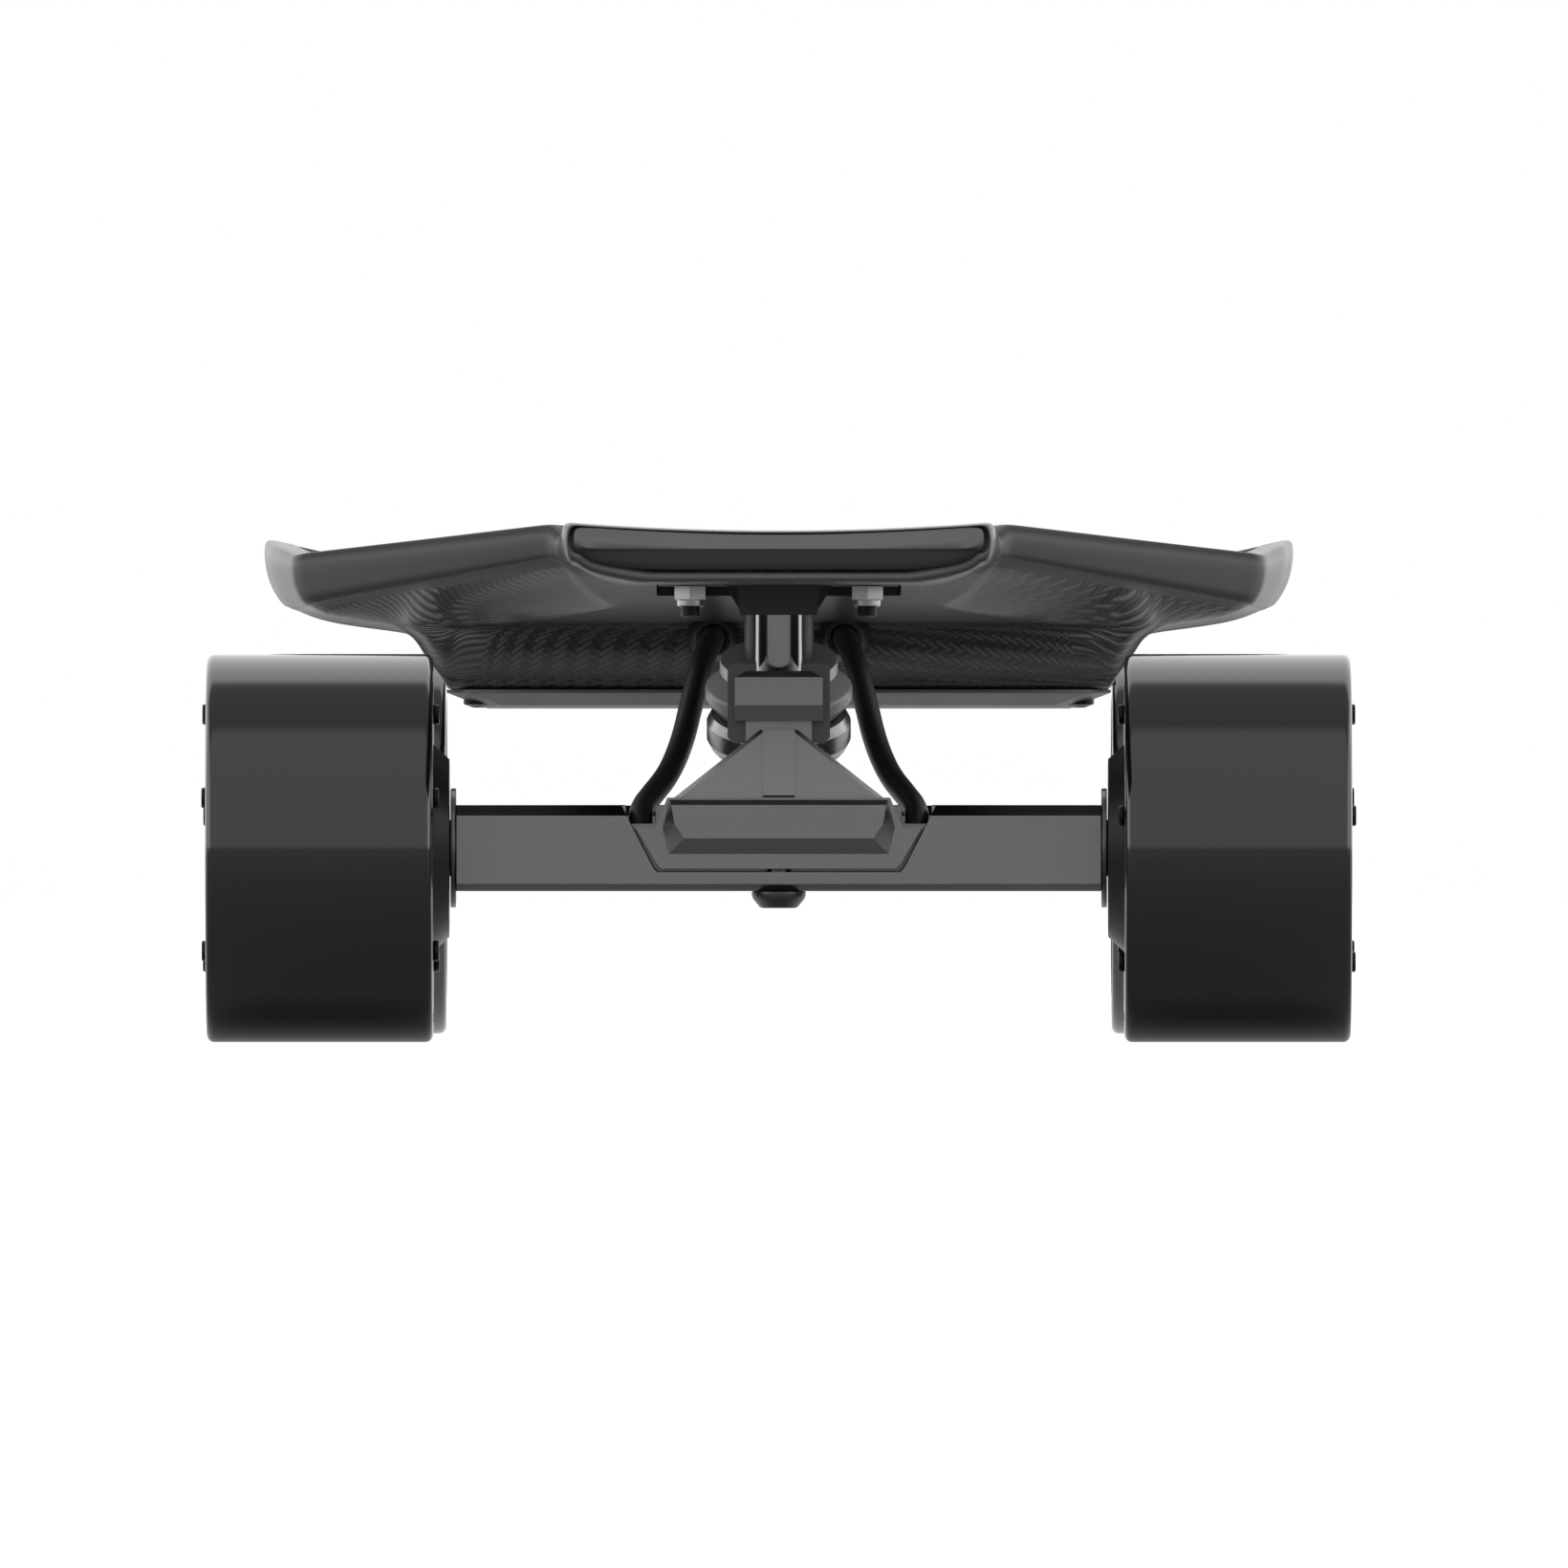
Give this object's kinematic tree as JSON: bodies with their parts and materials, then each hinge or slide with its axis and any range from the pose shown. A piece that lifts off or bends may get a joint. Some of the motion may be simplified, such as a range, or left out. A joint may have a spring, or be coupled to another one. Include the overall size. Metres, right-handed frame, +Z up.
{
  "type": "electric skateboard",
  "caption": "Electric skateboard: dropped composite deck on two sprung trucks, rear hub-motor wheels, sealed battery hull underneath.",
  "frame": {"origin": "on the ground plane, midway between the two axles and midway between the wheels", "axes": "+Y forwards along the board, from the driven rear truck to the front truck, +X to the rider's right, +Z up"},
  "size_m": [0.297, 0.97, 0.1341],
  "materials": {
    "carbon_shell": "satin clear-coated carbon twill",
    "grip": "coarse abrasive",
    "bumper_rubber": "smooth satin",
    "cover_plastic": "fine moulded texture",
    "gasket_rubber": "matt",
    "zinc_steel": "zinc plated",
    "black_steel": "black oxide",
    "polished_steel": "ground and polished",
    "forged_aluminium": "bead-blasted dark grey anodised",
    "cast_aluminium": "black powder coat",
    "urethane_grey": "satin translucent",
    "cup_urethane": "satin",
    "tyre_urethane": "satin smooth",
    "motor_metal": "satin black anodised",
    "magnet": "nickel plated",
    "stator_steel": "lacquered laminations and copper",
    "bearing_steel": "ground",
    "cable_jacket": "satin silicone",
    "battery_wrap": "heat-shrink wrap",
    "controller_case": "extruded",
    "button_plastic": "satin",
    "socket_metal": "nickel plated",
    "cap_rubber": "matt"
  },
  "bodies": {
    "deck": {"deck_shell": "carbon_shell", "grip_tape": "grip", "end_bumpers": "bumper_rubber", "belly_cover": "cover_plastic", "belly_gasket": "gasket_rubber", "belly_screws": "black_steel", "battery_pack": "battery_wrap", "motor_controller": "controller_case", "button_bezel": "socket_metal", "charge_socket": "socket_metal", "cap_hinge": "black_steel", "cable_glands": "button_plastic", "motor_cables": "cable_jacket", "rear_baseplate": "cast_aluminium", "front_baseplate": "cast_aluminium", "pivot_cups": "cup_urethane", "kingpins": "zinc_steel", "kingpin_nuts": "zinc_steel", "bushing_washers": "polished_steel", "rear_bushings": "urethane_grey", "front_bushings": "urethane_grey", "deck_bolts": "zinc_steel", "deck_nuts": "zinc_steel"},
    "power_button": {"power_button": "button_plastic"},
    "charge_cap": {"charge_cap": "cap_rubber"},
    "rear_hanger": {"rear_hanger_beam": "forged_aluminium", "rear_hanger_yoke": "forged_aluminium", "rear_pivot_pin": "polished_steel", "rear_yoke_screw": "black_steel", "rear_axle": "polished_steel", "rear_axle_spacers": "bearing_steel", "rear_axle_nuts": "zinc_steel", "rear_left_stator": "stator_steel", "rear_right_stator": "stator_steel"},
    "front_hanger": {"front_hanger_beam": "forged_aluminium", "front_hanger_yoke": "forged_aluminium", "front_pivot_pin": "polished_steel", "front_yoke_screw": "black_steel", "front_axle": "polished_steel", "front_axle_spacers": "bearing_steel", "front_axle_nuts": "zinc_steel"},
    "rear_left_wheel": {"rear_left_tyre": "tyre_urethane", "rear_left_rotor": "motor_metal", "rear_left_motor_cover": "motor_metal", "rear_left_cover_screws": "black_steel", "rear_left_magnets": "magnet", "rear_left_bearings": "bearing_steel"},
    "front_left_wheel": {"front_left_tyre": "tyre_urethane", "front_left_hub": "cast_aluminium", "front_left_bearings": "bearing_steel"},
    "rear_right_wheel": {"rear_right_tyre": "tyre_urethane", "rear_right_rotor": "motor_metal", "rear_right_motor_cover": "motor_metal", "rear_right_cover_screws": "black_steel", "rear_right_magnets": "magnet", "rear_right_bearings": "bearing_steel"},
    "front_right_wheel": {"front_right_tyre": "tyre_urethane", "front_right_hub": "cast_aluminium", "front_right_bearings": "bearing_steel"}
  },
  "joints": [
    {"name": "rear_steer", "type": "hinge", "parent": "deck", "child": "rear_hanger", "pos_m": [0, -0.335, 0.0808], "axis": [0, -0.7936, 0.6084], "range_deg": [-15, 15], "stiffness_Nm_per_rad": 60, "deforming": ["rear_bushings", "motor_cables"]},
    {"name": "front_steer", "type": "hinge", "parent": "deck", "child": "front_hanger", "pos_m": [0, 0.335, 0.0808], "axis": [0, 0.7936, 0.6084], "range_deg": [-15, 15], "stiffness_Nm_per_rad": 60, "deforming": ["front_bushings"]},
    {"name": "rear_left_spin", "type": "hinge", "parent": "rear_hanger", "child": "rear_left_wheel", "pos_m": [-0.1182, -0.365, 0.05], "axis": [1, 0, 0], "continuous": true},
    {"name": "rear_right_spin", "type": "hinge", "parent": "rear_hanger", "child": "rear_right_wheel", "pos_m": [0.1182, -0.365, 0.05], "axis": [1, 0, 0], "continuous": true},
    {"name": "front_left_spin", "type": "hinge", "parent": "front_hanger", "child": "front_left_wheel", "pos_m": [-0.1182, 0.365, 0.05], "axis": [1, 0, 0], "continuous": true},
    {"name": "front_right_spin", "type": "hinge", "parent": "front_hanger", "child": "front_right_wheel", "pos_m": [0.1182, 0.365, 0.05], "axis": [1, 0, 0], "continuous": true},
    {"name": "power_button_press", "type": "slide", "parent": "deck", "child": "power_button", "axis": [-1, 0, 0], "range_m": [0, 0.001], "stiffness_N_per_m": 600},
    {"name": "charge_cap_hinge", "type": "hinge", "parent": "deck", "child": "charge_cap", "pos_m": [0.0871, 0.1036, 0.0975], "axis": [0, 0, -1], "range_deg": [0, 100]}
  ]
}
